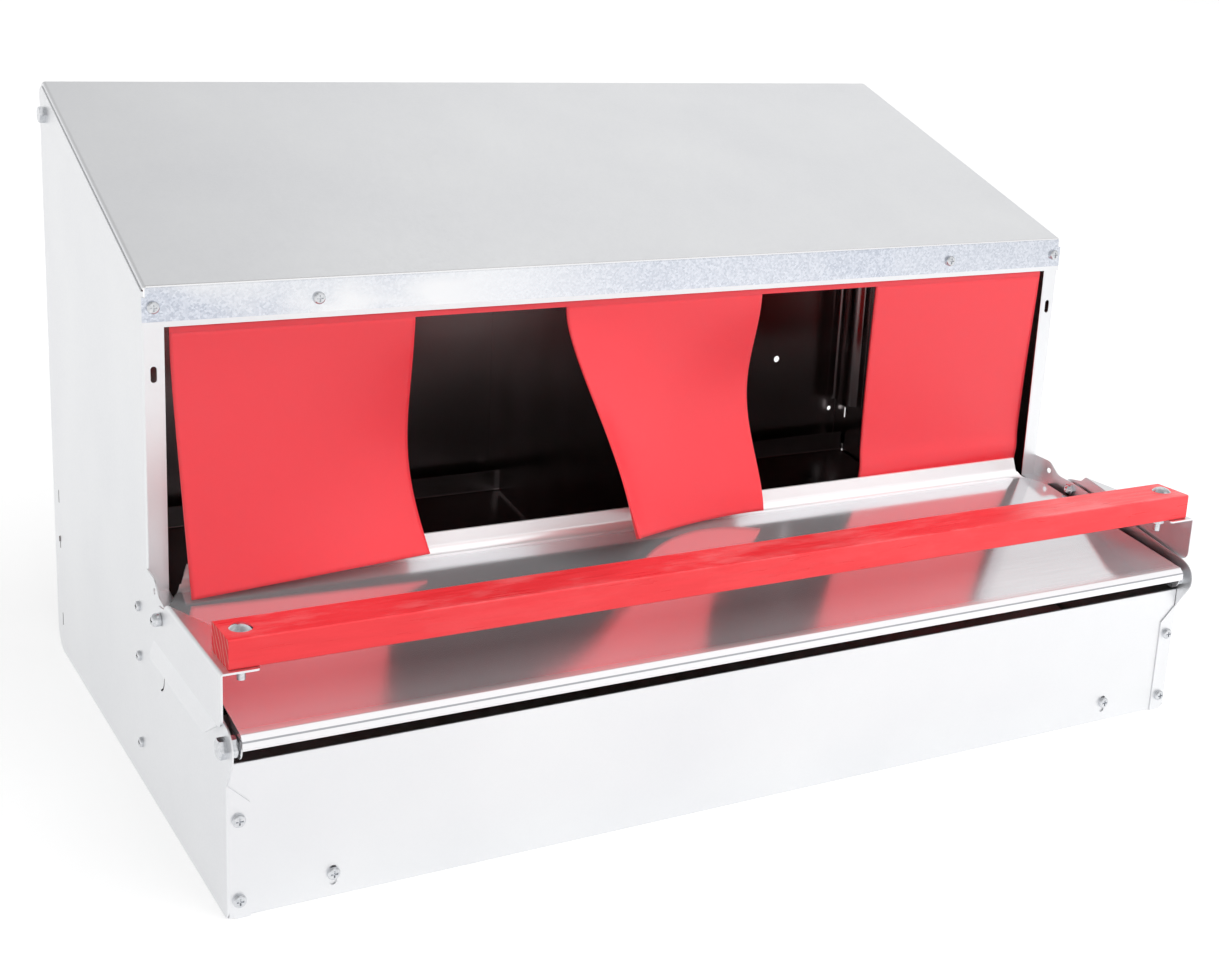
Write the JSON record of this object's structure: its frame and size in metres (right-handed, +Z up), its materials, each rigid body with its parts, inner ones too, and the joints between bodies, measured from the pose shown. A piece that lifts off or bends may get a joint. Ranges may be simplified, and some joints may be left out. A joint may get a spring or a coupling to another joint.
{
  "type": "chicken nesting box",
  "caption": "Folded sheet-metal nest box with a sloping roof, a flap curtain over the entrances, an egg tray under a hinged lid and a swinging perch bar.",
  "frame": {"origin": "centre of the bounding box at the underside", "axes": "+X along the width to the viewer's right, -Y to the front with the egg tray, +Z up"},
  "size_m": [0.8816, 0.53, 0.5095],
  "materials": {
    "galvanised_steel": "satin",
    "zinc_plated_steel": "satin",
    "red_pvc": "gloss",
    "painted_pine": "satin"
  },
  "bodies": {
    "cabinet": {"left_side_panel": "galvanised_steel", "right_side_panel": "galvanised_steel", "roof_panel": "galvanised_steel", "back_and_bottom": "galvanised_steel", "front_panel": "galvanised_steel", "nest_floor": "galvanised_steel", "centre_divider": "galvanised_steel", "left_floor_bracket": "galvanised_steel", "right_floor_bracket": "galvanised_steel", "curtain_clamp": "galvanised_steel", "curtain_header": "red_pvc", "lid_hinge_bolts": "zinc_plated_steel", "lid_hinge_nuts": "zinc_plated_steel", "pivot_screws": "zinc_plated_steel", "pivot_spacers": "zinc_plated_steel", "pivot_cap_nuts": "zinc_plated_steel", "fascia_screws": "zinc_plated_steel", "fascia_nuts": "zinc_plated_steel", "side_screws": "zinc_plated_steel", "side_nuts": "zinc_plated_steel", "front_screws": "zinc_plated_steel", "front_nuts": "zinc_plated_steel", "slope_screws": "zinc_plated_steel", "slope_nuts": "zinc_plated_steel", "roof_bolts": "zinc_plated_steel", "roof_nuts": "zinc_plated_steel"},
    "lid": {"egg_lid": "galvanised_steel"},
    "perch": {"perch_bar": "painted_pine", "left_perch_arm": "galvanised_steel", "right_perch_arm": "galvanised_steel", "carriage_bolts": "zinc_plated_steel", "carriage_washers": "zinc_plated_steel", "carriage_nuts": "zinc_plated_steel"},
    "left_flap": {"left_flap": "red_pvc"},
    "centre_flap": {"centre_flap": "red_pvc"},
    "right_flap": {"right_flap": "red_pvc"}
  },
  "joints": [
    {"name": "lid_hinge", "type": "hinge", "parent": "cabinet", "child": "lid", "pos_m": [0, -0.249, 0.125], "axis": [1, 0, 0], "range_deg": [0, 13.5], "deforming": ["left_flap", "centre_flap", "right_flap"]},
    {"name": "perch_swing", "type": "hinge", "parent": "cabinet", "child": "perch", "pos_m": [0, -0.109, 0.163], "axis": [-1, 0, 0], "range_deg": [0, 90], "deforming": ["left_flap", "centre_flap", "right_flap"]},
    {"name": "left_flap_swing", "type": "hinge", "parent": "cabinet", "child": "left_flap", "pos_m": [-0.315, -0.05725, 0.35825], "axis": [-1, 0, 0], "range_deg": [0, 45]},
    {"name": "centre_flap_swing", "type": "hinge", "parent": "cabinet", "child": "centre_flap", "pos_m": [0, -0.05725, 0.35825], "axis": [-1, 0, 0], "range_deg": [0, 35]},
    {"name": "right_flap_swing", "type": "hinge", "parent": "cabinet", "child": "right_flap", "pos_m": [0.315, -0.05725, 0.35825], "axis": [1, 0, 0], "range_deg": [0, 50]}
  ]
}
